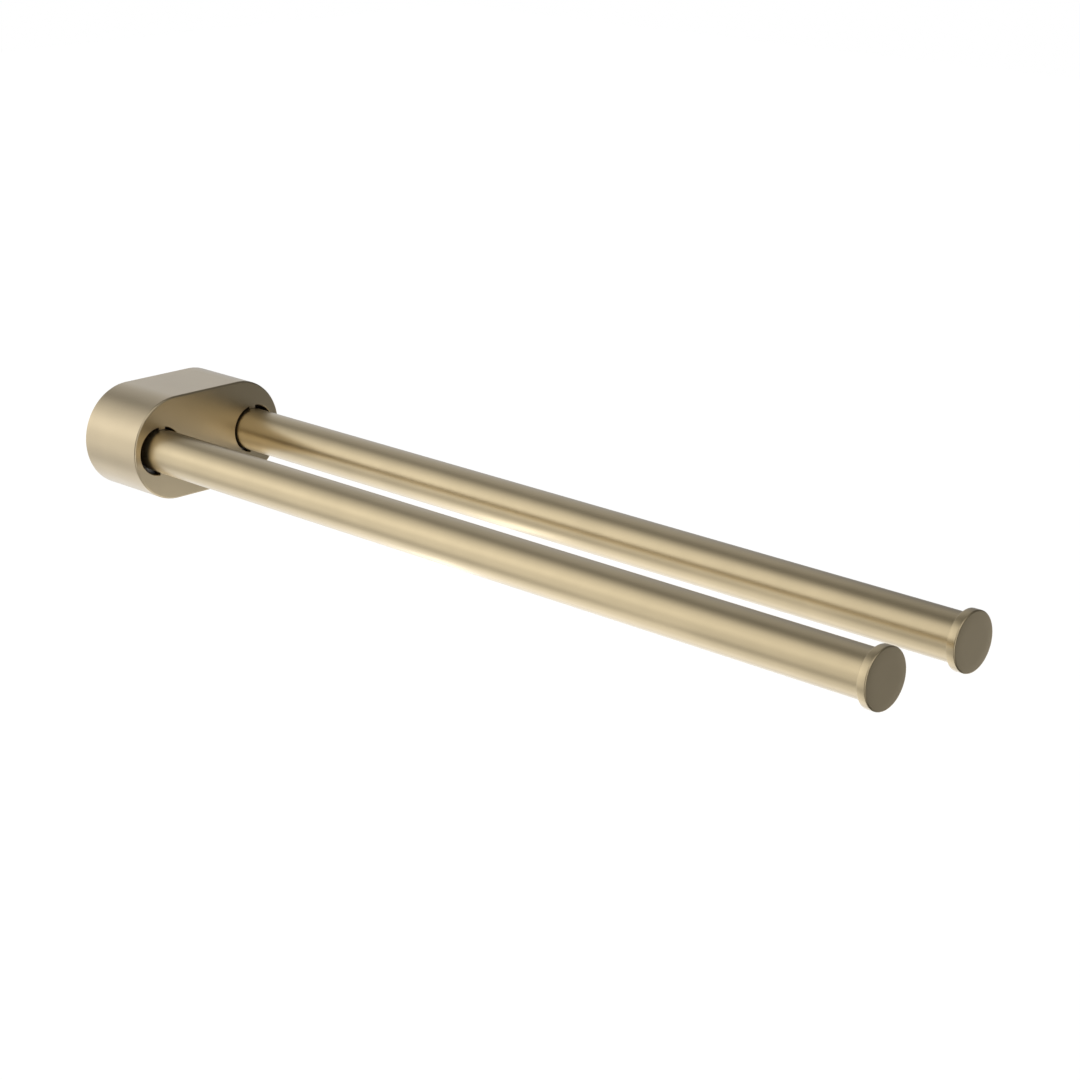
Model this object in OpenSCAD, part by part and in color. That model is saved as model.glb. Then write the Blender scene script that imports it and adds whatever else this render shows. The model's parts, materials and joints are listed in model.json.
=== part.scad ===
// Double towel rail: two bars on hidden pivots in an obround wall base.
// X runs along the wall, Y into it and Z up, from the middle of the base's wall face.
// Depths are measured out from the wall, so a depth of 10 lies at y = -10.

/* [Bars] */
// Distance from the wall to the end faces of the bars
reach = 450; // [300:5:600]
// Distance from the axis of a bar to the nearer end of the base
bar_margin = 16; // [15.5:0.5:20]
// Outside diameter of a bar
bar_d = 20; // [18:0.5:21]
// Wall of the bar tube
bar_wall = 1.5; // [1:0.1:2]
// Length of the threaded plug in the root of a tube
insert_l = 16; // [12:1:30]
// Thread that joins a knuckle to its tube
stud_d = 8; // [6:1:10]
// Length of the threaded stud on a knuckle
stud_l = 14; // [8:1:24]

/* [End caps] */
// Diameter of the flat end disc
cap_d = 24.7; // [22:0.1:26]
// Thickness of the end disc
cap_t = 4; // [2:0.1:8]
// Round on the front edge of the disc
cap_edge_r = 0.6; // [0.2:0.1:0.8]
// Round on the back edge of the disc
cap_back_r = 0.3; // [0.1:0.1:0.8]
// Length of the spigot inside the tube
spigot_l = 12; // [8:1:24]
// Cord diameter of the rubber ring that grips the tube
ring_cord = 2; // [1:0.1:2.4]

/* [Base cover] */
// Width of the base
cover_w = 86; // [76:1:110]
// Height of the base
cover_h = 49; // [47:1:60]
// Depth of the base from the wall
cover_d = 37; // [36:1:50]
// Side wall of the cover
cover_wall = 3; // [2:0.1:3.3]
// Front wall of the cover
cover_front = 3; // [2:0.1:4]
// Round on the front edge of the cover
cover_edge_r = 0.8; // [0.3:0.1:1.5]
// Gap between a bar and its opening at both ends of the swing
opening_gap = 0.8; // [0.5:0.1:1.1]
// Gap between a bar and its opening above and below
opening_rise = 1.3; // [0.6:0.1:1.6]
// Bevel around the front edge of the openings
opening_bevel = 0.3; // [0.1:0.1:0.6]
// Width of the guides that stand over and under a bar in its opening
guide_w = 3.5; // [2:0.5:5]
// Gap between a bar and these guides
guide_gap = 0.1; // [0.05:0.05:0.3]
// Thread of the screw that holds the cover from below
grub_d = 4; // [3:0.5:5]
// Diameter of that screw's dog point
grub_point_d = 2.5; // [1.5:0.1:2.8]

/* [Swivel] */
// Angle that each bar swings outward, in degrees
swing = 7.5; // [4:0.5:9]
// Distance of the pivot axes behind the front face
pivot_back = 13; // [12:0.5:14]
// Diameter of the pivot screw's shoulder
pivot_d = 6; // [5:0.5:6.5]
// Thread below the shoulder
pivot_thread_d = 5; // [4:0.5:5]
// Diameter of the pivot screw's head
pivot_head_d = 9; // [8:0.5:10]
// Height of the pivot screw's head
pivot_head_h = 2.2; // [1.8:0.1:2.4]
// Width across the flats of the lock nut
nut_across = 8; // [7:0.5:8.5]
// Height of the lock nut
nut_h = 2.7; // [2:0.1:2.8]
// Radius of the eye around the pivot
eye_r = 8; // [7:0.5:8.5]
// Height of the eye between its flats
eye_h = 14; // [12:0.5:14]
// Thickness of the collar that the tube butts on
collar_t = 1.2; // [1:0.1:2]
// Wall of the pivot bushes
bush_wall = 1; // [0.6:0.1:1.2]
// Thickness of the bush flanges
flange_t = 1; // [0.6:0.1:1]
// Width of the bush flanges around their sleeves
flange_w = 1.5; // [1:0.1:1.8]
// Gap between the sleeves of the two bushes in one eye
sleeve_gap = 1; // [0.5:0.5:3]
// Diameter of the washers in the hinge
washer_d = 12; // [11:0.5:13]
// Thickness of the plain washer
washer_t = 0.8; // [0.5:0.1:0.8]
// Thickness of the sheet of the spring washer
spring_t = 0.4; // [0.2:0.05:0.4]
// Width of the finger that meets the stops
finger_w = 5; // [4:0.5:7]
// Height of the finger that meets the stops
finger_h = 10; // [6:1:13]

/* [Swivel bracket] */
// Thickness of the bracket's back
bracket_t = 6; // [5:0.5:6.5]
// Radius of the ears around the pivots
ear_r = 7.5; // [7:0.25:8]
// Thickness of the ears
ear_t = 4.5; // [4:0.25:4.75]
// Thickness of the stop cheeks
cheek_t = 3; // [2:0.5:4]
// Distance between the two screws that hold the bracket
bracket_screw_spacing = 24; // [20:1:28]
// Thread of the screws that hold the bracket
bracket_screw_d = 5; // [4:0.5:5]
// Head diameter of the screws that hold the bracket
bracket_head_d = 9.6; // [8.5:0.1:10]

/* [Wall plate] */
// Thickness of the wall plate
plate_t = 5; // [4:0.5:5.5]
// Distance between the two wall screws
wall_hole_spacing = 50; // [40:1:54]
// Width of the slots for the wall screws
slot_w = 5; // [4:0.5:6]
// Length of the slots for the wall screws
slot_l = 9; // [7:0.5:12]
// Width of the recess for the wall screw heads
head_recess_w = 10; // [8:0.5:11]
// Depth of the recess for the wall screw heads
head_recess_depth = 3.2; // [2:0.1:3.5]

/* [Clearances] */
// Radial clearance of the pivot screws in their bushes
run_clear = 0.05; // [0.02:0.01:0.1]
// Gap between pieces that sit tight in each other
seat_clear = 0.02; // [0.01:0.01:0.05]
// Radial gap around the threads, which are drawn plain
thread_clear = 0.05; // [0.03:0.01:0.1]
// Gap between the stacked faces of the hinge
axial_play = 0.05; // [0.03:0.01:0.1]
// Gap between the plates and the inside of the cover
plate_clear = 0.3; // [0.2:0.05:0.5]
// Gap left at the stops
stop_gap = 0.1; // [0.05:0.05:0.2]
// Gap between the ears and the collar that swings past them
ear_clear = 0.4; // [0.3:0.1:0.8]
// Gap between the finger's tip and the bracket's back
finger_gap = 1; // [0.6:0.1:2]

/* [Hidden] */
$fn = 96;

brass = [0.72, 0.63, 0.48];
cast_metal = [0.62, 0.63, 0.64];
steel = [0.78, 0.79, 0.8];
dark_steel = [0.35, 0.36, 0.38];
polymer = [0.9, 0.89, 0.85];
rubber = [0.1, 0.1, 0.1];

left = -1;
right = 1;
upper = 1;
lower = -1;
cut = 1;
across_to_d = 1 / cos(30);

bar_spacing = cover_w - 2 * bar_margin;
bar_r = bar_d / 2;
bore_r = bar_r - bar_wall;
cavity_w = cover_w - 2 * cover_wall;
cavity_h = cover_h - 2 * cover_wall;
inner_w = cavity_w - 2 * plate_clear;
inner_h = cavity_h - 2 * plate_clear;
plates_t = plate_t + bracket_t;

// The openings are wider on their outer side, by as much as the bars swing there
swing_shift = pivot_back * tan(swing) + bar_r * (1 / cos(swing) - 1);
opening_w = bar_d + 2 * opening_gap + swing_shift;
opening_h = bar_d + 2 * opening_rise;

pivot_depth = cover_d - pivot_back;
pivot_r = pivot_d / 2;
neck_w = 2 * (eye_r - 1.5);
neck_l = ear_r + ear_clear;
collar_r = bar_r - 0.2;
tube_root = pivot_depth + neck_l + collar_t;

bush_r = pivot_r + run_clear + bush_wall;
flange_top = eye_h / 2 + flange_t;
washer_bore_r = pivot_r + 2 * run_clear;
ear_in = flange_top + max(2 * spring_t, washer_t) + 2 * axial_play;
ear_out = ear_in + ear_t;
shoulder_short = 0.2;
thread_past_nut = 0.3;
head_socket = 3;
head_socket_depth = 1.4;

finger_l = pivot_depth - plates_t - finger_gap;
finger_reach = finger_w / 2 * cos(swing) + finger_l * sin(swing);
cheek_front = eye_r + 1.5;

cap_r = cap_d / 2;
tube_end = reach - cap_t;
spigot_r = bore_r - seat_clear;
groove_w = ring_cord + 0.4;

grub_depth = plate_t + bracket_t / 2;
grub_bottom = -cover_h / 2 + 0.3;
grub_top = -inner_h / 2 - axial_play;
grub_point_l = 1.4;
grub_socket = 2;
grub_socket_depth = 1.5;
screw_off_wall = 0.5;

// Draws its children standing on a plane at this depth, growing away from the wall
module outward(depth) {
    translate([0, -depth, 0]) rotate([90, 0, 0]) children();
}

// Moves its children to the axis of the left or right bar
module on_bar(side) {
    translate([side * bar_spacing / 2, 0, 0]) children();
}

// Moves its children to the left or right pivot, with X running away from the middle
module at_pivot(side) {
    translate([side * bar_spacing / 2, -pivot_depth, 0])
        mirror([side == left ? 1 : 0, 0, 0]) children();
}

// Turns its children upside down for the lower half of a hinge
module at_level(level) {
    mirror([0, 0, level == lower ? 1 : 0]) children();
}

// Flat outline with round ends, lying or standing
module obround(width, height) {
    end_r = min(width, height) / 2;
    for (end = [-1, 1])
        translate([end * (width / 2 - end_r), end * (height / 2 - end_r)]) circle(r = end_r);
    if (width > height) square([width - height, height], center = true);
    if (height > width) square([width, height - width], center = true);
}

// Widening mouth over such an outline, which grows by as much as it is deep
module obround_bevel(width, height, depth) {
    end_r = min(width, height) / 2;
    straight = max(width, height) - 2 * end_r;
    rotate([0, 0, width > height ? 0 : 90]) {
        for (end = [-1, 1]) translate([end * straight / 2, 0, 0])
            cylinder(h = depth, r1 = end_r, r2 = end_r + depth);
        if (straight > 0) translate([-straight / 2, 0, 0]) rotate([90, 0, 90])
            linear_extrude(straight) polygon([
                [-end_r, 0], [end_r, 0], [end_r + depth, depth], [-end_r - depth, depth]
            ]);
    }
}

// Round piece with a through hole, standing on the plane z = 0
module ring(height, outer_r, inner_r) {
    difference() {
        cylinder(h = height, r = outer_r);
        translate([0, 0, -cut]) cylinder(h = height + 2 * cut, r = inner_r);
    }
}

module hex_socket(across, depth) {
    translate([0, 0, -depth]) cylinder(h = depth + cut, d = across * across_to_d, $fn = 6);
}

// Half of the cover's outside in section, with its front edge rounded
module cover_section() {
    square([cover_h / 2 - cover_edge_r, cover_d]);
    square([cover_h / 2, cover_d - cover_edge_r]);
    translate([cover_h / 2 - cover_edge_r, cover_d - cover_edge_r]) circle(r = cover_edge_r);
}

module cover_outside() {
    straight = cover_w - cover_h;
    for (side = [left, right])
        translate([side * straight / 2, 0, 0]) outward(0)
            rotate([0, 0, -90 * side]) rotate_extrude(angle = 180) cover_section();
    translate([-straight / 2, 0, 0]) rotate([0, 90, 0]) linear_extrude(straight)
        for (flip = [0, 1]) mirror([flip, 0]) mirror([0, 1]) cover_section();
}

module base_cover() {
    color(brass) difference() {
        cover_outside();
        outward(-cut) linear_extrude(cover_d - cover_front + cut) obround(cavity_w, cavity_h);
        for (side = [left, right]) on_bar(side) difference() {
            translate([side * swing_shift / 2, 0, 0]) {
                outward(cover_d - cover_front - cut) linear_extrude(cover_front + 2 * cut)
                    obround(opening_w, opening_h);
                outward(cover_d - opening_bevel)
                    obround_bevel(opening_w, opening_h, opening_bevel + cut);
            }
            for (level = [lower, upper]) at_level(level)
                translate([-guide_w / 2, -cover_d - 2 * cut, bar_r + guide_gap])
                    cube([guide_w, cover_front + 4 * cut, opening_rise + opening_bevel + 2 * cut]);
        }
        translate([0, -grub_depth, -cover_h / 2 - cut])
            cylinder(h = cover_wall + 2 * cut, d = grub_d);
    }
}

module cover_grub_screw() {
    color(dark_steel) translate([0, -grub_depth, 0]) difference() {
        union() {
            translate([0, 0, grub_bottom])
                cylinder(h = grub_top - grub_bottom, r = grub_d / 2 - thread_clear);
            translate([0, 0, grub_bottom])
                cylinder(h = grub_top - grub_bottom + grub_point_l, d = grub_point_d);
        }
        translate([0, 0, grub_bottom]) mirror([0, 0, 1]) hex_socket(grub_socket, grub_socket_depth);
    }
}

module wall_plate() {
    color(steel) difference() {
        outward(0) linear_extrude(plate_t) obround(inner_w, inner_h);
        for (side = [left, right]) translate([side * wall_hole_spacing / 2, 0, 0]) {
            outward(-cut) linear_extrude(plate_t + 2 * cut) obround(slot_l, slot_w);
            outward(plate_t - head_recess_depth) linear_extrude(head_recess_depth + cut)
                obround(slot_l + head_recess_w - slot_w, head_recess_w);
        }
        for (level = [lower, upper]) translate([0, 0, level * bracket_screw_spacing / 2])
            outward(-cut) cylinder(h = plate_t + 2 * cut, d = bracket_screw_d);
    }
}

// Countersunk screw from one depth out to the bracket's face, or the room that it needs
module countersunk(from, clear, over) {
    shank_r = bracket_screw_d / 2 + clear;
    head_r = bracket_head_d / 2 + clear;
    sink = head_r - shank_r;
    outward(from) cylinder(h = plates_t - from, r = shank_r);
    outward(plates_t - sink) cylinder(h = sink + over, r1 = shank_r, r2 = head_r + over);
}

module bracket_screws() {
    color(dark_steel) for (level = [lower, upper])
        translate([0, 0, level * bracket_screw_spacing / 2]) difference() {
            countersunk(screw_off_wall, -thread_clear, 0);
            outward(plates_t) hex_socket(head_socket, head_socket_depth);
        }
}

module ears() {
    for (level = [lower, upper]) at_level(level) difference() {
        translate([0, 0, ear_in]) union() {
            cylinder(h = ear_t, r = ear_r);
            translate([-ear_r, 0, 0]) cube([2 * ear_r, pivot_depth - plates_t + cut, ear_t]);
        }
        translate([0, 0, ear_in - cut]) cylinder(h = ear_t + 2 * cut, r = pivot_r + run_clear);
    }
}

// Two posts beside the finger, which it meets at the two ends of the swing
module stop_cheeks() {
    root = pivot_depth - plates_t;
    for (face = [finger_w / 2 + stop_gap, -finger_reach - stop_gap - cheek_t])
        translate([face, cheek_front, -finger_h / 2])
            cube([cheek_t, root - cheek_front + cut, finger_h]);
}

module swivel_bracket() {
    color(cast_metal) difference() {
        union() {
            outward(plate_t) linear_extrude(bracket_t) obround(inner_w, inner_h);
            for (side = [left, right]) at_pivot(side) {
                ears();
                stop_cheeks();
            }
        }
        for (level = [lower, upper]) translate([0, 0, level * bracket_screw_spacing / 2])
            countersunk(plate_t - cut, thread_clear, cut);
        translate([0, -grub_depth, -inner_h / 2 - cut])
            cylinder(h = cut + grub_point_l + cut, r = grub_point_d / 2 + thread_clear);
    }
}

module bar_tube(side) {
    color(brass) on_bar(side) outward(tube_root) ring(tube_end - tube_root, bar_r, bore_r);
}

module tube_insert(side) {
    color(steel) on_bar(side) outward(tube_root) ring(insert_l, bore_r - seat_clear, stud_d / 2);
}

module knuckle(side) {
    color(cast_metal) at_pivot(side) difference() {
        union() {
            translate([0, 0, -eye_h / 2]) cylinder(h = eye_h, r = eye_r);
            translate([-neck_w / 2, -neck_l, -eye_h / 2]) cube([neck_w, neck_l, eye_h]);
            translate([-finger_w / 2, 0, -finger_h / 2]) cube([finger_w, finger_l, finger_h]);
            outward(neck_l) cylinder(h = collar_t, r = collar_r);
            outward(neck_l) cylinder(h = collar_t + stud_l, r = stud_d / 2 - thread_clear);
        }
        translate([0, 0, -eye_h / 2 - cut]) cylinder(h = eye_h + 2 * cut, r = bush_r + seat_clear);
    }
}

module bush(side, level) {
    color(polymer) at_pivot(side) at_level(level) difference() {
        union() {
            translate([0, 0, sleeve_gap / 2])
                cylinder(h = flange_top - sleeve_gap / 2, r = bush_r);
            translate([0, 0, eye_h / 2]) cylinder(h = flange_t, r = bush_r + flange_w);
        }
        cylinder(h = flange_top + cut, r = pivot_r + run_clear);
    }
}

// Cone-shaped washer that keeps the hinge tight
module spring_washer(side) {
    color(steel) at_pivot(side) translate([0, 0, flange_top + axial_play]) rotate_extrude()
        polygon([
            [washer_bore_r, 0], [washer_d / 2, spring_t],
            [washer_d / 2, 2 * spring_t], [washer_bore_r, spring_t]
        ]);
}

module thrust_washer(side) {
    color(steel) at_pivot(side) translate([0, 0, -ear_in + axial_play])
        ring(washer_t, washer_d / 2, washer_bore_r);
}

module pivot_screw(side) {
    shoulder_end = -ear_out + shoulder_short;
    thread_end = -ear_out - nut_h - thread_past_nut;
    color(dark_steel) at_pivot(side) difference() {
        union() {
            translate([0, 0, ear_out]) cylinder(h = pivot_head_h, d = pivot_head_d);
            translate([0, 0, shoulder_end]) cylinder(h = ear_out - shoulder_end + cut, r = pivot_r);
            translate([0, 0, thread_end])
                cylinder(h = shoulder_end - thread_end + cut, r = pivot_thread_d / 2 - thread_clear);
        }
        translate([0, 0, ear_out + pivot_head_h]) hex_socket(head_socket, head_socket_depth);
    }
}

module lock_nut(side) {
    color(steel) at_pivot(side) translate([0, 0, -ear_out - nut_h]) difference() {
        cylinder(h = nut_h, d = nut_across * across_to_d, $fn = 6);
        translate([0, 0, -cut]) cylinder(h = nut_h + 2 * cut, d = pivot_thread_d);
    }
}

// Half of an end cap in section: x is the radius, y the distance behind the end face
module cap_section() {
    square([cap_r - cap_edge_r, cap_t - cap_back_r]);
    translate([0, cap_edge_r]) square([cap_r, cap_t - cap_edge_r - cap_back_r]);
    translate([0, cap_edge_r]) square([cap_r - cap_back_r, cap_t - cap_edge_r]);
    translate([cap_r - cap_edge_r, cap_edge_r]) circle(r = cap_edge_r);
    translate([cap_r - cap_back_r, cap_t - cap_back_r]) circle(r = cap_back_r);
    difference() {
        translate([0, cap_t - cut]) square([spigot_r, spigot_l + cut]);
        translate([spigot_r - ring_cord - seat_clear, cap_t + (spigot_l - groove_w) / 2])
            square([ring_cord + cut, groove_w]);
    }
}

// Moves its children to the end face of a bar, with Z running back along it
module from_end(side) {
    translate([side * bar_spacing / 2, -reach, 0]) rotate([-90, 0, 0]) children();
}

module end_cap(side) {
    color(brass) from_end(side) rotate_extrude() cap_section();
}

module cap_ring(side) {
    color(rubber) from_end(side) translate([0, 0, cap_t + spigot_l / 2]) rotate_extrude()
        translate([spigot_r - ring_cord / 2, 0]) circle(r = ring_cord / 2);
}

base_cover();
wall_plate();
swivel_bracket();
bracket_screws();
cover_grub_screw();
bar_tube(left);  // left_bar_tube
bar_tube(right);  // right_bar_tube
tube_insert(left);  // left_tube_insert
tube_insert(right);  // right_tube_insert
knuckle(left);  // left_knuckle
knuckle(right);  // right_knuckle
bush(left, upper);  // left_upper_bush
bush(right, upper);  // right_upper_bush
bush(left, lower);  // left_lower_bush
bush(right, lower);  // right_lower_bush
spring_washer(left);  // left_spring_washer
spring_washer(right);  // right_spring_washer
thrust_washer(left);  // left_thrust_washer
thrust_washer(right);  // right_thrust_washer
pivot_screw(left);  // left_pivot_screw
pivot_screw(right);  // right_pivot_screw
lock_nut(left);  // left_lock_nut
lock_nut(right);  // right_lock_nut
end_cap(left);  // left_end_cap
end_cap(right);  // right_end_cap
cap_ring(left);  // left_cap_ring
cap_ring(right);  // right_cap_ring
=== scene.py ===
import json
import math

import bmesh
import bpy
from mathutils import Matrix, Vector


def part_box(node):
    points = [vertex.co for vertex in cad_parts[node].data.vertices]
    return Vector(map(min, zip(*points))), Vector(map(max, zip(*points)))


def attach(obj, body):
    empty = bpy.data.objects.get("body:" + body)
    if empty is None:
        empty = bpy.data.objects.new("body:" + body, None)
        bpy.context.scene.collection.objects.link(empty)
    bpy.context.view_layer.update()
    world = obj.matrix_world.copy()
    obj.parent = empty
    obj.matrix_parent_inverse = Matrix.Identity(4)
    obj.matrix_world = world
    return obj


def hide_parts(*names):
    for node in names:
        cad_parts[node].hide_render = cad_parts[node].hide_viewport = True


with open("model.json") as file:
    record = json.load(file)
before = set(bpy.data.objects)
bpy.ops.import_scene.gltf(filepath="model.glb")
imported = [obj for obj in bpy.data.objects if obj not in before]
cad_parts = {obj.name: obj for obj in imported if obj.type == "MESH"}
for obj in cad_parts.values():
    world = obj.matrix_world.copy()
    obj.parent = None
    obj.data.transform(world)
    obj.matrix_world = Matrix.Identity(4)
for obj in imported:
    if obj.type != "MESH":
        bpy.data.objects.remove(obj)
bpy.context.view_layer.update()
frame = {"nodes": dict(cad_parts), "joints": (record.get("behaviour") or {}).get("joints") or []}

scene = bpy.context.scene
scene.view_settings.view_transform = "Standard"
mm = 0.001
micron = 0.001 * mm
white = (1.0, 1.0, 1.0, 1.0)

# The right swivel's place in mm, which the axis of its bar crosses; the left one mirrors it
swivels = {joint["name"]: joint for joint in frame["joints"]}
barAside, pivotY, _ = (round(value / mm, 3) for value in swivels["right_swivel"]["pos_m"])


# Lowest and highest corner of a node in the frame, in mm to the nearest thousandth
def nodeCorners(node):
    return [[round(value / mm, 3) for value in corner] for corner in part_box(node)]


# Nodes: each input is a plain value, a socket to link from, or None to leave it as it is
def addNode(tree, kind, *inputs, **settings):
    node = tree.nodes.new(kind)
    for name, value in settings.items():
        setattr(node, name, value)
    for socket, value in zip(node.inputs, inputs):
        if value is not None:
            setInput(tree, socket, value)
    return node


def setInput(tree, socket, value):
    if isinstance(value, bpy.types.NodeSocket):
        tree.links.new(value, socket)
    else:
        socket.default_value = value


def calculate(tree, operation, *values):
    return addNode(tree, "ShaderNodeMath", *values, operation=operation).outputs[0]


def calculateVector(tree, operation, *values):
    node = addNode(tree, "ShaderNodeVectorMath", *values, operation=operation)
    return node.outputs["Value" if operation in ("DOT_PRODUCT", "LENGTH") else "Vector"]


def mapRange(tree, value, fromLow, fromHigh, low=0.0, high=1.0, curve="LINEAR"):
    return addNode(
        tree, "ShaderNodeMapRange", value, fromLow, fromHigh, low, high, interpolation_type=curve,
    ).outputs[0]


def mixColors(tree, share, first, second):
    node = addNode(tree, "ShaderNodeMix", share, data_type="RGBA")
    setInput(tree, node.inputs[6], first)
    setInput(tree, node.inputs[7], second)
    return node.outputs[2]


def newGroup(name, kind, inputs, outputs):
    tree = bpy.data.node_groups.new(name, kind)
    for label, socketKind, value in inputs:
        socket = tree.interface.new_socket(label, in_out="INPUT", socket_type=socketKind)
        if value is not None:
            socket.default_value = value
    for label, socketKind in outputs:
        tree.interface.new_socket(label, in_out="OUTPUT", socket_type=socketKind)
    given = tree.nodes.new("NodeGroupInput").outputs
    return tree, given, tree.nodes.new("NodeGroupOutput").inputs


def useGroup(tree, group, **values):
    node = tree.nodes.new("ShaderNodeGroup")
    node.node_tree = group
    for label, value in values.items():
        setInput(tree, node.inputs[label], value)
    return node.outputs


# The camera stands where the photograph was taken from: angles in degrees, distances in m
photoCamera = {
    "azimuth": -46.178,
    "elevation": 18.018,
    "roll": 0.447,
    "lens": 86.12,
    "sensor": 36.0,
    "distance": 1.23475,
    "aside": 0.18192,
    "below": 0.05515,
}


def makeCamera(c):
    azimuth, elevation, roll = (math.radians(c[name]) for name in ("azimuth", "elevation", "roll"))
    back = Vector((
        math.sin(azimuth) * math.cos(elevation),
        -math.cos(azimuth) * math.cos(elevation),
        math.sin(elevation),
    ))
    level = (-back).cross(Vector((0, 0, 1))).normalized()
    upright = level.cross(-back)
    right = level * math.cos(roll) + upright * math.sin(roll)
    up = upright * math.cos(roll) - level * math.sin(roll)
    data = bpy.data.cameras.new("photoCamera")
    data.sensor_width = c["sensor"]
    data.lens = c["lens"]
    camera = bpy.data.objects.new("photoCamera", data)
    place = back * c["distance"] + right * c["aside"] - up * c["below"]
    turn = Matrix((right, up, back)).transposed()
    camera.matrix_world = Matrix.Translation(place) @ turn.to_4x4()
    scene.collection.objects.link(camera)
    scene.camera = camera


# Soft studio: large glows all round the object, and a pale floor that mirrors the same glows back
studio = {
    "middle": (0.0, -0.22, 0.0),
    "surround": 0.09,
    "backdrop": 1.0,
    "fullDegrees": 1.0,
    "goneDegrees": 32.0,
    "glows": [
        # azimuth from +X and elevation in degrees, strength
        (60, -60, 0.65),
        (120, -60, 0.94),
        (35, -42, 0.35),
        (0, -30, 1.16),
        (30, -30, 0.30),
        (60, -30, 0.28),
        (90, -30, 0.63),
        (120, -30, 0.19),
        (150, -30, 0.32),
        (210, -30, 0.15),
        (240, -30, 0.35),
        (330, -30, 0.12),
        (40, -20, 0.15),
        (30, 0, 0.12),
        (60, 0, 0.34),
        (120, 0, 0.72),
        (150, 0, 0.60),
        (240, 0, 0.90),
        (330, 0, 0.05),
        (60, 30, 0.39),
        (120, 30, 0.75),
        (150, 30, 0.55),
        (210, 30, 0.20),
        (240, 30, 0.34),
        (270, 30, 0.28),
        (60, 60, 0.08),
        (215, 60, 0.80),
        (240, 60, 0.10),
        (300, 60, 0.12),
    ],
    "cards": [
        # place, size and power of the lit cards that stand close to the base
        ((0.05, -0.14, -0.085), 0.10, 0.0154),
        ((0.0, -0.12, -0.12), 0.10, 0.0285),
        ((-0.15, -0.25, -0.10), 0.15, 0.0437),
    ],
    "cardsAim": (0.0, -0.04, 0.0),
    "floorLevel": -0.9,
    "floorSize": 14.0,
    "floorColor": (0.86, 0.86, 0.85, 1.0),
    "whiteShare": 0.8,
    "whiteStrength": 1.19,
}


def makeStudioGlow(s):
    tree, given, result = newGroup(
        "studioGlow", "ShaderNodeTree",
        [("Direction", "NodeSocketVector", None)], [("Strength", "NodeSocketFloat")],
    )
    direction = calculateVector(tree, "NORMALIZE", given["Direction"])
    full, gone = (math.cos(math.radians(s[name])) for name in ("fullDegrees", "goneDegrees"))
    total = s["surround"]
    for azimuth, elevation, strength in s["glows"]:
        turned, raised = math.radians(azimuth), math.radians(elevation)
        level = math.cos(raised)
        aim = (level * math.cos(turned), level * math.sin(turned), math.sin(raised))
        facing = calculateVector(tree, "DOT_PRODUCT", direction, aim)
        glow = mapRange(tree, facing, gone, full, 0.0, strength, "SMOOTHSTEP")
        total = calculate(tree, "ADD", total, glow)
    setInput(tree, result["Strength"], total)
    return tree


# The camera sees an even white, all else sees the glows
def makeWorld(s, glow):
    world = bpy.data.worlds.new("softStudio")
    scene.world = world
    world.use_nodes = True
    tree = world.node_tree
    tree.nodes.clear()
    direction = addNode(tree, "ShaderNodeTexCoord").outputs["Generated"]
    strength = useGroup(tree, glow, Direction=direction)["Strength"]
    seen = addNode(tree, "ShaderNodeLightPath").outputs["Is Camera Ray"]
    strength = addNode(tree, "ShaderNodeMix", seen, None, strength, s["backdrop"]).outputs[0]
    background = addNode(tree, "ShaderNodeBackground", white, strength)
    addNode(tree, "ShaderNodeOutputWorld", background.outputs[0])


# The camera sees pale paint, mostly washed out by white, and reflections see the glows
def makeFloor(s, glow):
    half = s["floorSize"] / 2
    z = s["floorLevel"]
    mesh = bpy.data.meshes.new("studioFloor")
    corners = [(-half, -half, z), (half, -half, z), (half, half, z), (-half, half, z)]
    mesh.from_pydata(corners, [], [(0, 1, 2, 3)])
    floor = bpy.data.objects.new("studioFloor", mesh)
    scene.collection.objects.link(floor)
    material = bpy.data.materials.new("studioFloor")
    material.use_nodes = True
    material.cycles.emission_sampling = "NONE"
    tree = material.node_tree
    tree.nodes.clear()
    paint = addNode(tree, "ShaderNodeBsdfDiffuse", s["floorColor"]).outputs[0]
    bright = addNode(tree, "ShaderNodeEmission", white, s["whiteStrength"]).outputs[0]
    place = addNode(tree, "ShaderNodeTexCoord").outputs["Object"]
    direction = calculateVector(tree, "SUBTRACT", place, s["middle"])
    strength = useGroup(tree, glow, Direction=direction)["Strength"]
    mirrored = addNode(tree, "ShaderNodeEmission", white, strength).outputs[0]
    path = addNode(tree, "ShaderNodeLightPath").outputs
    isMirrored = calculate(tree, "MAXIMUM", path["Is Glossy Ray"], path["Is Transmission Ray"])
    isCamera = calculate(tree, "MULTIPLY", path["Is Camera Ray"], s["whiteShare"])
    lit = addNode(tree, "ShaderNodeMixShader", isMirrored, paint, mirrored).outputs[0]
    seen = addNode(tree, "ShaderNodeMixShader", isCamera, lit, bright).outputs[0]
    addNode(tree, "ShaderNodeOutputMaterial", seen)
    mesh.materials.append(material)


def makeCards(s):
    for number, (place, size, power) in enumerate(s["cards"]):
        data = bpy.data.lights.new(f"card{number + 1}", "AREA")
        data.shape = "DISK"
        data.size = size
        data.energy = power
        card = bpy.data.objects.new(data.name, data)
        card.location = place
        away = Vector(place) - Vector(s["cardsAim"])
        card.rotation_euler = away.to_track_quat("Z", "Y").to_euler()
        card.visible_camera = False
        scene.collection.objects.link(card)


studioGlow = makeStudioGlow(studio)
makeCamera(photoCamera)
makeWorld(studio, studioGlow)
makeFloor(studio, studioGlow)
makeCards(studio)
print("camera and studio stand")


# Shared effects: each is built once and placed in the finishes with their own values
def objectPlace(tree, size):
    place = addNode(tree, "ShaderNodeTexCoord").outputs["Object"]
    return calculateVector(tree, "DIVIDE", place, size)


def makeNoise(tree, place, scale, detail, roughness):
    return addNode(tree, "ShaderNodeTexNoise", place, None, scale, detail, roughness).outputs[0]


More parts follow.
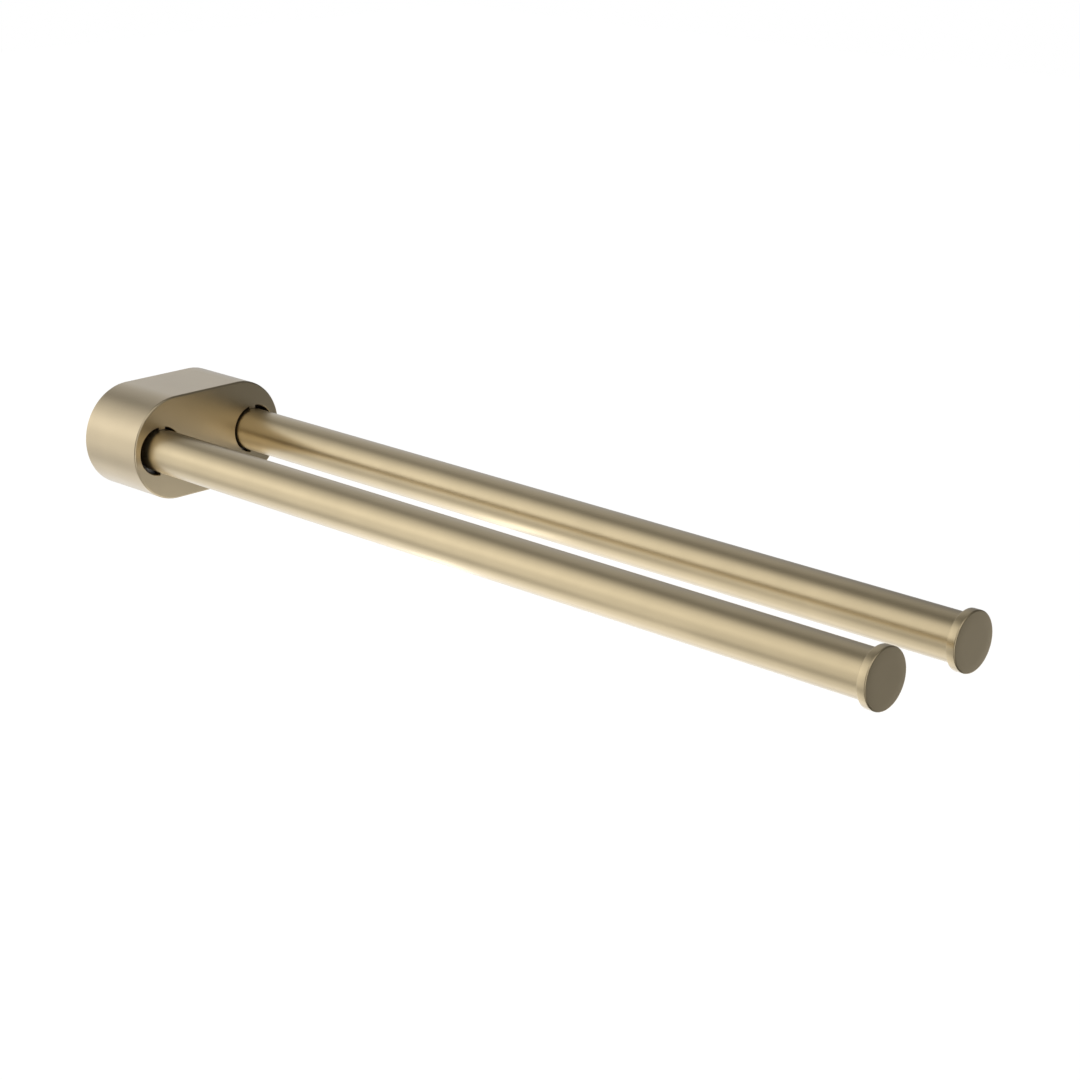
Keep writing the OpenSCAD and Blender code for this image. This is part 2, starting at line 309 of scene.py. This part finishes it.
# A slow change of tone over a surface, and quicker clouds from elsewhere in the same noise
def makeSoftDrift():
    tree, given, result = newGroup(
        "softDrift", "ShaderNodeTree",
        [("Size", "NodeSocketFloat", 20 * mm)],
        [("Tone", "NodeSocketFloat"), ("Cloud", "NodeSocketFloat")],
    )
    place = objectPlace(tree, given["Size"])
    slow = makeNoise(tree, place, scale=1.0, detail=2.0, roughness=0.5)
    elsewhere = calculateVector(tree, "ADD", place, (3.7, 9.1, 5.3))
    quick = makeNoise(tree, elsewhere, scale=3.1, detail=3.0, roughness=0.6)
    setInput(tree, result["Tone"], mapRange(tree, slow, fromLow=0.35, fromHigh=0.65))
    setInput(tree, result["Cloud"], mapRange(tree, quick, fromLow=0.3, fromHigh=0.7))
    return tree


# Even grain, as fine as satin finished metal has it
def makeFineGrain():
    tree, given, result = newGroup(
        "fineGrain", "ShaderNodeTree",
        [("Size", "NodeSocketFloat", 0.1 * mm)],
        [("Height", "NodeSocketFloat"), ("Mask", "NodeSocketFloat")],
    )
    place = objectPlace(tree, given["Size"])
    grain = makeNoise(tree, place, scale=1.0, detail=2.0, roughness=0.55)
    setInput(tree, result["Height"], grain)
    setInput(tree, result["Mask"], mapRange(tree, grain, fromLow=0.38, fromHigh=0.62))
    return tree


# Rounded pebbles with finer sand on them, as a casting mould leaves behind
def makeCastSkin():
    tree, given, result = newGroup(
        "castSkin", "ShaderNodeTree",
        [("Size", "NodeSocketFloat", 0.6 * mm), ("Sand Height", "NodeSocketFloat", 0.6)],
        [("Height", "NodeSocketFloat"), ("Mask", "NodeSocketFloat")],
    )
    place = objectPlace(tree, given["Size"])
    pebbles = addNode(tree, "ShaderNodeTexVoronoi", place, feature="SMOOTH_F1")
    pebbles.inputs["Scale"].default_value = 1.0
    pebbles.inputs["Smoothness"].default_value = 0.7
    distance = pebbles.outputs["Distance"]
    sand = makeNoise(tree, place, scale=2.6, detail=3.0, roughness=0.6)
    height = calculate(tree, "MULTIPLY_ADD", sand, given["Sand Height"], distance)
    setInput(tree, result["Height"], height)
    setInput(tree, result["Mask"], mapRange(tree, distance, fromLow=0.1, fromHigh=0.7))
    return tree


# Lines that run round a bar, and in rings where a face looks along Y by more than Flat From. The
# bars lie along Y, at Bar Place from the middle, and Around Bend makes their lines waver slowly.
def makeTurnedLines():
    tree, given, result = newGroup(
        "turnedLines", "ShaderNodeTree",
        [
            ("Spacing", "NodeSocketFloat", 0.12 * mm),
            ("Bar Place", "NodeSocketFloat", barAside * mm),
            ("Around Bend", "NodeSocketFloat", 90.0),
            ("Flat From", "NodeSocketFloat", 0.7),
        ],
        [("Height", "NodeSocketFloat"), ("Mask", "NodeSocketFloat")],
    )
    coordinates = addNode(tree, "ShaderNodeTexCoord").outputs
    place = addNode(tree, "ShaderNodeSeparateXYZ", coordinates["Object"]).outputs
    x = calculate(tree, "SUBTRACT", calculate(tree, "ABSOLUTE", place["X"]), given["Bar Place"])
    z = place["Z"]
    squares = calculate(tree, "MULTIPLY_ADD", x, x, calculate(tree, "MULTIPLY", z, z))
    radius = calculate(tree, "SQRT", squares)
    normal = addNode(tree, "ShaderNodeSeparateXYZ", coordinates["Normal"]).outputs["Y"]
    isFlat = calculate(tree, "ABSOLUTE", normal)
    isFlat = calculate(tree, "GREATER_THAN", isFlat, given["Flat From"])
    across = addNode(tree, "ShaderNodeMix", isFlat, None, place["Y"], radius).outputs[0]
    across = calculate(tree, "DIVIDE", across, given["Spacing"])
    bentX = calculate(tree, "MULTIPLY", x, given["Around Bend"])
    bentZ = calculate(tree, "MULTIPLY", z, given["Around Bend"])
    around = addNode(tree, "ShaderNodeCombineXYZ", across, bentX, bentZ).outputs[0]
    lines = makeNoise(tree, around, scale=1.0, detail=3.0, roughness=0.65)
    setInput(tree, result["Height"], lines)
    setInput(tree, result["Mask"], mapRange(tree, lines, fromLow=0.35, fromHigh=0.65))
    return tree


# Straight lines of rolled or rubbed sheet, along X
def makeRolledLines():
    tree, given, result = newGroup(
        "rolledLines", "ShaderNodeTree",
        [("Spacing", "NodeSocketFloat", 0.15 * mm), ("Length", "NodeSocketFloat", 12 * mm)],
        [("Height", "NodeSocketFloat"), ("Mask", "NodeSocketFloat")],
    )
    spacing = given["Spacing"]
    size = addNode(tree, "ShaderNodeCombineXYZ", given["Length"], spacing, spacing).outputs[0]
    place = objectPlace(tree, size)
    lines = makeNoise(tree, place, scale=1.0, detail=3.0, roughness=0.6)
    setInput(tree, result["Height"], lines)
    setInput(tree, result["Mask"], mapRange(tree, lines, fromLow=0.35, fromHigh=0.65))
    return tree


# Where two faces meet, handling rubs the finish a little brighter
def makeRubbedEdge():
    tree, given, result = newGroup(
        "rubbedEdge", "ShaderNodeTree",
        [("Radius", "NodeSocketFloat", 0.3 * mm), ("Break Up", "NodeSocketFloat", 1.5 * mm)],
        [("Mask", "NodeSocketFloat")],
    )
    rounded = addNode(tree, "ShaderNodeBevel", given["Radius"], samples=6).outputs[0]
    normal = addNode(tree, "ShaderNodeNewGeometry").outputs["Normal"]
    facing = calculateVector(tree, "DOT_PRODUCT", rounded, normal)
    edge = mapRange(tree, facing, fromLow=0.995, fromHigh=0.9)
    place = objectPlace(tree, given["Break Up"])
    patches = makeNoise(tree, place, scale=1.0, detail=3.0, roughness=0.6)
    broken = mapRange(tree, patches, fromLow=0.3, fromHigh=0.6, low=0.35)
    setInput(tree, result["Mask"], calculate(tree, "MULTIPLY", edge, broken))
    return tree


softDrift = makeSoftDrift()
fineGrain = makeFineGrain()
castSkin = makeCastSkin()
turnedLines = makeTurnedLines()
rolledLines = makeRolledLines()
rubbedEdge = makeRubbedEdge()


# Finishes: sizes in mm, heights of skin and lines in thousandths of a mm
satinBrass = {
    "color": (0.555, 0.452, 0.284, 1.0),
    "paler": (0.583, 0.475, 0.299, 1.0),
    "edge": (0.66, 0.54, 0.35, 1.0),
    "metallic": 1.0,
    "roughness": (0.31, 0.35),
    "coat": 1.0,
    "coatIor": 1.5,
    "coatRoughness": 0.3,
    "driftSize": 22.0,
    "skin": fineGrain,
    "skinSize": 0.11,
    "skinHeight": 0.9,
    "edgeRadius": 0.3,
}
turnedBrass = {
    **satinBrass,
    "color": (0.568, 0.459, 0.272, 1.0),
    "paler": (0.596, 0.482, 0.287, 1.0),
    "lines": turnedLines,
    "lineSpacing": 0.11,
    "lineHeight": 0.8,
}
plainSteel = {
    "color": (0.58, 0.585, 0.59, 1.0),
    "paler": (0.66, 0.66, 0.655, 1.0),
    "edge": (0.74, 0.74, 0.74, 1.0),
    "metallic": 1.0,
    "roughness": (0.26, 0.38),
    "driftSize": 16.0,
    "skin": fineGrain,
    "skinSize": 0.2,
    "skinHeight": 0.6,
    "lines": rolledLines,
    "lineSpacing": 0.16,
    "lineHeight": 1.6,
    "edgeRadius": 0.25,
}
castSteel = {
    "color": (0.40, 0.40, 0.405, 1.0),
    "paler": (0.50, 0.50, 0.50, 1.0),
    "edge": (0.60, 0.60, 0.60, 1.0),
    "metallic": 1.0,
    "roughness": (0.42, 0.56),
    "driftSize": 9.0,
    "skin": castSkin,
    "skinSize": 0.7,
    "skinHeight": 26.0,
    "edgeRadius": 0.35,
}
blackSteel = {
    "color": (0.045, 0.045, 0.05, 1.0),
    "paler": (0.085, 0.083, 0.082, 1.0),
    "edge": (0.36, 0.35, 0.34, 1.0),
    "metallic": 1.0,
    "roughness": (0.34, 0.48),
    "driftSize": 3.0,
    "skin": fineGrain,
    "skinSize": 0.12,
    "skinHeight": 1.2,
    "edgeRadius": 0.12,
}
bearingPlastic = {
    "color": (0.74, 0.725, 0.67, 1.0),
    "paler": (0.80, 0.79, 0.74, 1.0),
    "edge": (0.84, 0.83, 0.79, 1.0),
    "metallic": 0.0,
    "roughness": (0.38, 0.5),
    "driftSize": 6.0,
    "skin": fineGrain,
    "skinSize": 0.14,
    "skinHeight": 3.0,
    "edgeRadius": 0.15,
}
blackRubber = {
    "color": (0.022, 0.022, 0.023, 1.0),
    "paler": (0.035, 0.035, 0.036, 1.0),
    "edge": (0.05, 0.05, 0.05, 1.0),
    "metallic": 0.0,
    "roughness": (0.5, 0.68),
    "driftSize": 4.0,
    "skin": fineGrain,
    "skinSize": 0.1,
    "skinHeight": 4.0,
    "edgeRadius": 0.1,
}
# How much of a finish's range of roughness each effect adds
roughShares = {"cloud": 0.6, "skin": 0.4, "lines": 0.4, "edge": -0.5}


def makeFinish(name, f):
    material = bpy.data.materials.new(name)
    material.use_nodes = True
    tree = material.node_tree
    tree.nodes.clear()
    shader = addNode(tree, "ShaderNodeBsdfPrincipled")
    addNode(tree, "ShaderNodeOutputMaterial", shader.outputs[0])
    shader.inputs["Metallic"].default_value = f["metallic"]
    shader.inputs["Coat Weight"].default_value = f.get("coat", 0.0)
    shader.inputs["Coat IOR"].default_value = f.get("coatIor", 1.5)
    shader.inputs["Coat Roughness"].default_value = f.get("coatRoughness", 0.03)

    drift = useGroup(tree, softDrift, Size=f["driftSize"] * mm)
    skin = useGroup(tree, f["skin"], Size=f["skinSize"] * mm)
    edge = useGroup(tree, rubbedEdge, Radius=f["edgeRadius"] * mm)["Mask"]
    color = mixColors(tree, drift["Tone"], f["color"], f["paler"])
    setInput(tree, shader.inputs["Base Color"], mixColors(tree, edge, color, f["edge"]))

    low, high = f["roughness"]
    steps = {label: (high - low) * share for label, share in roughShares.items()}
    rough = calculate(tree, "MULTIPLY_ADD", drift["Cloud"], steps["cloud"], low)
    rough = calculate(tree, "MULTIPLY_ADD", skin["Mask"], steps["skin"], rough)
    height = calculate(tree, "MULTIPLY", skin["Height"], f["skinHeight"])
    if "lines" in f:
        lines = useGroup(tree, f["lines"], Spacing=f["lineSpacing"] * mm)
        height = calculate(tree, "MULTIPLY_ADD", lines["Height"], f["lineHeight"], height)
        rough = calculate(tree, "MULTIPLY_ADD", lines["Mask"], steps["lines"], rough)
    rough = calculate(tree, "MULTIPLY_ADD", edge, steps["edge"], rough)
    setInput(tree, shader.inputs["Roughness"], rough)
    bump = addNode(tree, "ShaderNodeBump")
    bump.inputs["Distance"].default_value = micron
    setInput(tree, bump.inputs["Height"], height)
    setInput(tree, shader.inputs["Normal"], bump.outputs[0])
    return material


brass = makeFinish("satinBrass", satinBrass)
barBrass = makeFinish("turnedSatinBrass", turnedBrass)
steel = makeFinish("plainSteel", plainSteel)
casting = makeFinish("castSteel", castSteel)
blackened = makeFinish("blackenedSteel", blackSteel)
plastic = makeFinish("bearingPlastic", bearingPlastic)
rubber = makeFinish("blackRubber", blackRubber)
print("finishes mixed")

# The pieces that keep their CAD shape get their finishes
finishes = {"base_cover": brass, "wall_plate": steel, "swivel_bracket": casting}
finishesOfPairs = {
    "spring_washer": steel,
    "thrust_washer": steel,
    "tube_insert": steel,
    "knuckle": casting,
    "upper_bush": plastic,
    "lower_bush": plastic,
    "cap_ring": rubber,
}
for label, finish in finishesOfPairs.items():
    finishes["left_" + label] = finish
    finishes["right_" + label] = finish
for node, finish in finishes.items():
    for slot in frame["nodes"][node].material_slots:
        slot.material = finish


# Turned pieces: a half section is spun round Z, threaded or hexagonal where its rows say so
def makeLatheTree():
    inputs = [
        ("Geometry", "NodeSocketGeometry", None),
        ("Segments", "NodeSocketInt", 48),
        ("Thread Pitch", "NodeSocketFloat", 0.8 * mm),
        ("Thread Depth", "NodeSocketFloat", 0.4 * mm),
        ("Count", "NodeSocketInt", 1),
        ("First Place", "NodeSocketVector", None),
        ("Step", "NodeSocketVector", None),
        ("Turn", "NodeSocketVector", None),
        ("Material", "NodeSocketMaterial", None),
    ]
    outputs = [("Geometry", "NodeSocketGeometry")]
    tree, given, result = newGroup("turnOnLathe", "GeometryNodeTree", inputs, outputs)
    section = given["Geometry"]

    # A grid with one column of points per segment, each column a copy of the section
    rows = addNode(tree, "GeometryNodeAttributeDomainSize", section).outputs["Point Count"]
    columns = calculate(tree, "ADD", given["Segments"], 1.0)
    grid = addNode(tree, "GeometryNodeMeshGrid", 1.0, 1.0, columns, rows).outputs["Mesh"]
    index = addNode(tree, "GeometryNodeInputIndex").outputs[0]
    column = calculate(tree, "DIVIDE", calculate(tree, "ADD", index, 0.5), rows)
    column = calculate(tree, "FLOOR", column)
    row = calculate(tree, "SUBTRACT", index, calculate(tree, "MULTIPLY", column, rows))
    around = calculate(tree, "DIVIDE", column, given["Segments"])
    angle = calculate(tree, "MULTIPLY", around, math.tau)

    def ofSection(kind, value):
        node = addNode(tree, "GeometryNodeSampleIndex", data_type=kind)
        setInput(tree, node.inputs["Geometry"], section)
        setInput(tree, node.inputs["Value"], value)
        setInput(tree, node.inputs["Index"], row)
        return node.outputs["Value"]

    def named(label):
        node = addNode(tree, "GeometryNodeInputNamedAttribute", label, data_type="FLOAT")
        return node.outputs["Attribute"]

    place = ofSection("FLOAT_VECTOR", addNode(tree, "GeometryNodeInputPosition").outputs[0])
    place = addNode(tree, "ShaderNodeSeparateXYZ", place).outputs
    threaded = ofSection("FLOAT", named("threaded"))
    corner = ofSection("FLOAT", named("corner"))

    # Thread: a groove along a helix in the threaded rows, from its flat bottom to the flat crests
    turns = calculate(tree, "DIVIDE", place["Z"], given["Thread Pitch"])
    turns = calculate(tree, "FRACT", calculate(tree, "SUBTRACT", turns, around))
    fromBottom = calculate(tree, "ABSOLUTE", calculate(tree, "MULTIPLY_ADD", turns, 2.0, -1.0))
    groove = mapRange(tree, fromBottom, fromLow=0.12, fromHigh=0.85, low=1.0, high=0.0)
    groove = calculate(tree, "MULTIPLY", groove, given["Thread Depth"])
    groove = calculate(tree, "MULTIPLY", groove, threaded)
    radius = calculate(tree, "SUBTRACT", place["X"], groove)

    # Hexagon: such a row goes no further out than its flats
    sixth = math.tau / 6
    fromFlat = calculate(tree, "SUBTRACT", calculate(tree, "MODULO", angle, sixth), sixth / 2)
    flat = calculate(tree, "MULTIPLY", corner, math.cos(sixth / 2))
    flat = calculate(tree, "DIVIDE", flat, calculate(tree, "COSINE", fromFlat))
    isHexagon = calculate(tree, "GREATER_THAN", corner, 0.0)
    limited = calculate(tree, "MINIMUM", radius, flat)
    radius = addNode(tree, "ShaderNodeMix", isHexagon, None, radius, limited).outputs[0]

    x = calculate(tree, "MULTIPLY", radius, calculate(tree, "COSINE", angle))
    y = calculate(tree, "MULTIPLY", radius, calculate(tree, "SINE", angle))
    spun = addNode(tree, "ShaderNodeCombineXYZ", x, y, place["Z"]).outputs[0]
    turned = addNode(tree, "GeometryNodeSetPosition", grid, None, spun).outputs[0]
    merged = addNode(tree, "GeometryNodeMergeByDistance", turned)
    merged.inputs["Distance"].default_value = 2 * micron

    points = addNode(tree, "GeometryNodeMeshLine", given["Count"], mode="OFFSET")
    setInput(tree, points.inputs["Start Location"], given["First Place"])
    setInput(tree, points.inputs["Offset"], given["Step"])
    copies = addNode(tree, "GeometryNodeInstanceOnPoints", points.outputs[0])
    setInput(tree, copies.inputs["Instance"], merged.outputs[0])
    setInput(tree, copies.inputs["Rotation"], given["Turn"])
    real = addNode(tree, "GeometryNodeRealizeInstances", copies.outputs[0]).outputs[0]
    finished = addNode(tree, "GeometryNodeSetMaterial", real)
    setInput(tree, finished.inputs["Material"], given["Material"])
    setInput(tree, result["Geometry"], finished.outputs[0])
    return tree


# Rows of a half section: radius and height in mm, share of the thread, corner radius of a hexagon
def plainRows(*places):
    return [(radius, height, 0.0, 0.0) for radius, height in places]


def threadRows(radius, low, high, pitch, rowsPerTurn=10, runOutTurns=0.5):
    count = math.ceil(abs(high - low) / pitch * rowsPerTurn)
    rows = []
    for i in range(count + 1):
        height = low + (high - low) * i / count
        turnsFromEnd = min(abs(height - low), abs(high - height)) / pitch
        rows.append((radius, height, min(1.0, turnsFromEnd / runOutTurns), 0.0))
    return rows


def cornerRadius(across):
    return across / 2 / math.cos(math.pi / 6)


def hexagonRows(across, *places):
    corner = cornerRadius(across)
    return [(radius, height, 0.0, corner) for radius, height in places]


def socketRows(across, mouth, floor, chamfer=0.18, drillPoint=0.25):
    way = 1 if mouth > floor else -1
    corner = cornerRadius(across)
    rows = plainRows((corner + chamfer, mouth))
    rows += hexagonRows(across, (corner, mouth - chamfer * way), (corner, floor))
    return rows + plainRows((0.0, floor - drillPoint * way))


def arcRows(middle, radius, start, end, steps):
    angles = [math.radians(start + (end - start) * i / steps) for i in range(steps + 1)]
    places = [(middle[0] + radius * math.cos(a), middle[1] + radius * math.sin(a)) for a in angles]
    return plainRows(*places)


latheTree = makeLatheTree()
sharpDegrees = 20  # edges that turn by more than this stay crisp


def turnPiece(name, p, rows, material, body, nodes):
    mesh = bpy.data.meshes.new(name + "Section")
    places = [(radius * mm, 0.0, height * mm) for radius, height, _, _ in rows]
    mesh.from_pydata(places, [(i, i + 1) for i in range(len(rows) - 1)], [])
    threaded = mesh.attributes.new("threaded", "FLOAT", "POINT")
    threaded.data.foreach_set("value", [row[2] for row in rows])
    corner = mesh.attributes.new("corner", "FLOAT", "POINT")
    corner.data.foreach_set("value", [row[3] * mm for row in rows])
    section = bpy.data.objects.new(name + "Section", mesh)
    scene.collection.objects.link(section)
    modifier = section.modifiers.new("lathe", "NODES")
    modifier.node_group = latheTree
    values = {
        "Segments": p["segments"],
        "Thread Pitch": p.get("pitch", 0.8) * mm,
        "Thread Depth": p.get("threadDepth", 0.0) * mm,
        "Count": p.get("count", 1),
        "First Place": [value * mm for value in p["place"]],
        "Step": [value * mm for value in p.get("step", (0.0, 0.0, 0.0))],
        "Turn": [math.radians(value) for value in p.get("turn", (0.0, 0.0, 0.0))],
        "Material": material,
    }
    for item in latheTree.interface.items_tree:
        if item.name in values:
            modifier[item.identifier] = values[item.name]
    depsgraph = bpy.context.evaluated_depsgraph_get()
    solid = bpy.data.meshes.new_from_object(section.evaluated_get(depsgraph), depsgraph=depsgraph)
    bpy.data.objects.remove(section)
    bpy.data.meshes.remove(mesh)

    work = bmesh.new()
    work.from_mesh(solid)
    bmesh.ops.recalc_face_normals(work, faces=work.faces)
    work.to_mesh(solid)
    work.free()
    solid.shade_smooth()
    solid.set_sharp_from_angle(angle=math.radians(sharpDegrees))
    solid.name = name
    piece = bpy.data.objects.new(name, solid)
    scene.collection.objects.link(piece)
    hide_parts(*nodes)
    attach(piece, body)


# Bars: tubes that end at the backs of the discs; depths are measured out from the wall
tubeLow, tubeHigh = nodeCorners("right_bar_tube")
bar = {
    "radius": (tubeHigh[0] - tubeLow[0]) / 2,
    "bore": 8.5,
    "root": -tubeHigh[1],
    "tip": -tubeLow[1],
    "chamfer": 0.04,
    "ringLength": 10.0,
    "segments": 128,
    "turn": (90.0, 0.0, 0.0),
    "slot": "satin_brass",
}


def barRows(b):
    outer, inner, chamfer = b["radius"], b["bore"], b["chamfer"]
    count = round((b["tip"] - b["root"]) / b["ringLength"])
    low, high = b["root"] + chamfer, b["tip"] - chamfer
    depths = [low + (high - low) * i / count for i in range(count + 1)]
    rows = [(inner, depth) for depth in reversed(depths)]
    rows += [(inner + chamfer, b["root"]), (outer - chamfer, b["root"])]
    rows += [(outer, depth) for depth in depths]
    rows += [(outer - chamfer, b["tip"]), (inner + chamfer, b["tip"]), rows[0]]
    return plainRows(*rows)


# End caps: behind the flat disc comes the spigot with the groove for the rubber ring
capLow, capHigh = nodeCorners("right_end_cap")
endCap = {
    "face": -capLow[1],
    "shoulder": bar["tip"],
    "back": -capHigh[1],
    "radius": capHigh[0] - barAside,
    "frontRound": 0.6,
    "backRound": 0.3,
    "faceInner": 7.41,
    "spigotRadius": 8.48,
    "spigotChamfer": 0.3,
    "grooveWidth": 2.4,
    "grooveRadius": 6.46,
    "segments": 128,
    "turn": (90.0, 0.0, 0.0),
    "slot": "satin_brass",
}


def capRows(c):
    face, shoulder, back = c["face"], c["shoulder"], c["back"]
    radius, front, behind = c["radius"], c["frontRound"], c["backRound"]
    spigot, chamfer = c["spigotRadius"], c["spigotChamfer"]
    grooveLow = (shoulder + back - c["grooveWidth"]) / 2
    grooveHigh = grooveLow + c["grooveWidth"]
    rows = plainRows(
        (0.0, back), (spigot - chamfer, back), (spigot, back + chamfer),
        (spigot, grooveLow), (c["grooveRadius"], grooveLow),
        (c["grooveRadius"], grooveHigh), (spigot, grooveHigh), (spigot, shoulder),
    )
    rows += arcRows((radius - behind, shoulder + behind), behind, -90, 0, steps=6)
    rows += arcRows((radius - front, face - front), front, 0, 90, steps=10)
    return rows + plainRows((c["faceInner"], face), (0.0, face))


for side, way in (("left", -1), ("right", 1)):
    barPlace = {"place": (barAside * way, 0.0, 0.0)}
    arm, tube, cap = side + "_arm", side + "_bar_tube", side + "_end_cap"
    turnPiece(side + "Bar", {**bar, **barPlace}, barRows(bar), barBrass, arm, [tube])
    turnPiece(side + "EndCap", {**endCap, **barPlace}, capRows(endCap), barBrass, arm, [cap])
print("bars and end caps turned")

# Pivot screws: shoulder screws from above through the ears of the bracket
pivotLow, pivotHigh = nodeCorners("right_pivot_screw")
pivotScrew = {
    "headRadius": pivotHigh[0] - barAside,
    "headTop": pivotHigh[2],
    "headFoot": 13.4,
    "headChamfer": 0.2,
    "headRound": 0.4,
    "shoulderRadius": 3.0,
    "shoulderEnd": -13.2,
    "shoulderChamfer": 0.15,
    "neckLength": 0.3,
    "neckDepth": 0.25,
    "neckStep": 0.02,
    "threadRadius": 2.45,
    "threadEnd": pivotLow[2],
    "endChamfer": 0.35,
    "pitch": 0.8,
    "threadDepth": 0.4,
    "socket": 3.0,
    "socketDepth": 1.4,
    "segments": 48,
    "count": 2,
    "place": (-barAside, pivotY, 0.0),
    "step": (2 * barAside, 0.0, 0.0),
    "slot": "dark_steel",
}


def pivotScrewRows(p):
    thread, end = p["threadRadius"], p["threadEnd"]
    neck, neckFoot = thread - p["neckDepth"], p["shoulderEnd"] - p["neckLength"]
    shoulder, shoulderEnd, edge = p["shoulderRadius"], p["shoulderEnd"], p["shoulderChamfer"]
    head, top, foot = p["headRadius"], p["headTop"], p["headFoot"]
    rows = plainRows((0.0, end), (thread - p["endChamfer"], end))
    rows += threadRows(thread, end + p["endChamfer"], neckFoot, p["pitch"])
    rows += plainRows(
        (neck, neckFoot + p["neckStep"]), (neck, shoulderEnd),
        (shoulder - edge, shoulderEnd), (shoulder, shoulderEnd + edge),
        (shoulder, foot), (head - p["headChamfer"], foot), (head, foot + p["headChamfer"]),
    )
    rounding = p["headRound"]
    rows += arcRows((head - rounding, top - rounding), rounding, 0, 90, steps=5)
    return rows + socketRows(p["socket"], top, top - p["socketDepth"])


turnPiece("pivotScrews", pivotScrew, pivotScrewRows(pivotScrew), blackened, "base",
          ["left_pivot_screw", "right_pivot_screw"])

# Lock nuts: on the ends of the pivot screws, with two flats square to the depth
nutLow, nutHigh = nodeCorners("right_lock_nut")
lockNut = {
    "across": nutHigh[1] - nutLow[1],
    "bore": 2.5,
    "low": nutLow[2],
    "high": nutHigh[2],
    "faceInset": 0.15,
    "faceSlope": 0.55,
    "faceSteps": 5,
    "boreChamfer": 0.2,
    "pitch": 0.8,
    "threadDepth": 0.38,
    "segments": 72,
    "count": 2,
    "place": (-barAside, pivotY, 0.0),
    "step": (2 * barAside, 0.0, 0.0),
    "slot": "steel",
}


def lockNutRows(n):
    low, high, across, steps = n["low"], n["high"], n["across"], n["faceSteps"]
    face = across / 2 - n["faceInset"]
    beyond = cornerRadius(across) - face
    rise = beyond * n["faceSlope"]
    lower = [(face + beyond * i / steps, low + rise * i / steps) for i in range(steps + 1)]
    upper = [(radius, high - (height - low)) for radius, height in reversed(lower)]
    rows = hexagonRows(across, *lower, *upper)
    bore, chamfer = n["bore"], n["boreChamfer"]
    rows += plainRows((bore + chamfer, high))
    rows += threadRows(bore, high - chamfer, low + chamfer, n["pitch"])
    return rows + plainRows((bore + chamfer, low)) + rows[:1]


turnPiece("lockNuts", lockNut, lockNutRows(lockNut), steel, "base",
          ["left_lock_nut", "right_lock_nut"])

# Bracket screws: countersunk, along the depth, one above the other
screwsLow, screwsHigh = nodeCorners("bracket_screws")
bracketScrew = {
    "headRadius": 4.65,
    "headTop": -screwsLow[1],
    "headEdge": 0.1,
    "coneFoot": 8.7,
    "plainLength": 1.2,
    "shankRadius": 2.45,
    "end": -screwsHigh[1],
    "endChamfer": 0.35,
    "pitch": 0.8,
    "threadDepth": 0.4,
    "socket": 3.0,
    "socketDepth": 1.4,
    "segments": 48,
    "turn": (90.0, 0.0, 0.0),
    "count": 2,
    "place": (0.0, 0.0, -12.0),
    "step": (0.0, 0.0, 24.0),
    "slot": "dark_steel",
}


def bracketScrewRows(p):
    shank, head, top, chamfer = p["shankRadius"], p["headRadius"], p["headTop"], p["endChamfer"]
    rows = plainRows((0.0, p["end"]), (shank - chamfer, p["end"]))
    rows += threadRows(shank, p["end"] + chamfer, p["coneFoot"] - p["plainLength"], p["pitch"])
    rows += plainRows((shank, p["coneFoot"]), (head, top - p["headEdge"]), (head, top))
    return rows + socketRows(p["socket"], top, top - p["socketDepth"])


turnPiece("bracketScrews", bracketScrew, bracketScrewRows(bracketScrew), blackened, "base",
          ["bracket_screws"])

# Grub screw: from below through the base cover into the bracket
grubLow, grubHigh = nodeCorners("cover_grub_screw")
grubScrew = {
    "radius": grubHigh[0],
    "low": grubLow[2],
    "high": -21.25,
    "endChamfer": 0.3,
    "pointRadius": 1.25,
    "pointTop": grubHigh[2],
    "pointChamfer": 0.15,
    "pitch": 0.7,
    "threadDepth": 0.35,
    "socket": 2.0,
    "socketDepth": 1.5,
    "segments": 48,
    "place": (0.0, (grubLow[1] + grubHigh[1]) / 2, 0.0),
    "slot": "dark_steel",
}


def grubScrewRows(p):
    radius, low, high, chamfer = p["radius"], p["low"], p["high"], p["endChamfer"]
    point, top, edge = p["pointRadius"], p["pointTop"], p["pointChamfer"]
    rows = list(reversed(socketRows(p["socket"], low, low + p["socketDepth"])))
    rows += plainRows((radius - chamfer, low))
    rows += threadRows(radius, low + chamfer, high - chamfer, p["pitch"])
    rows += plainRows((radius - chamfer, high), (point, high))
    return rows + plainRows((point, top - edge), (point - edge, top), (0.0, top))


turnPiece("coverGrubScrew", grubScrew, grubScrewRows(grubScrew), blackened, "base",
          ["cover_grub_screw"])
print("screws and nuts turned")
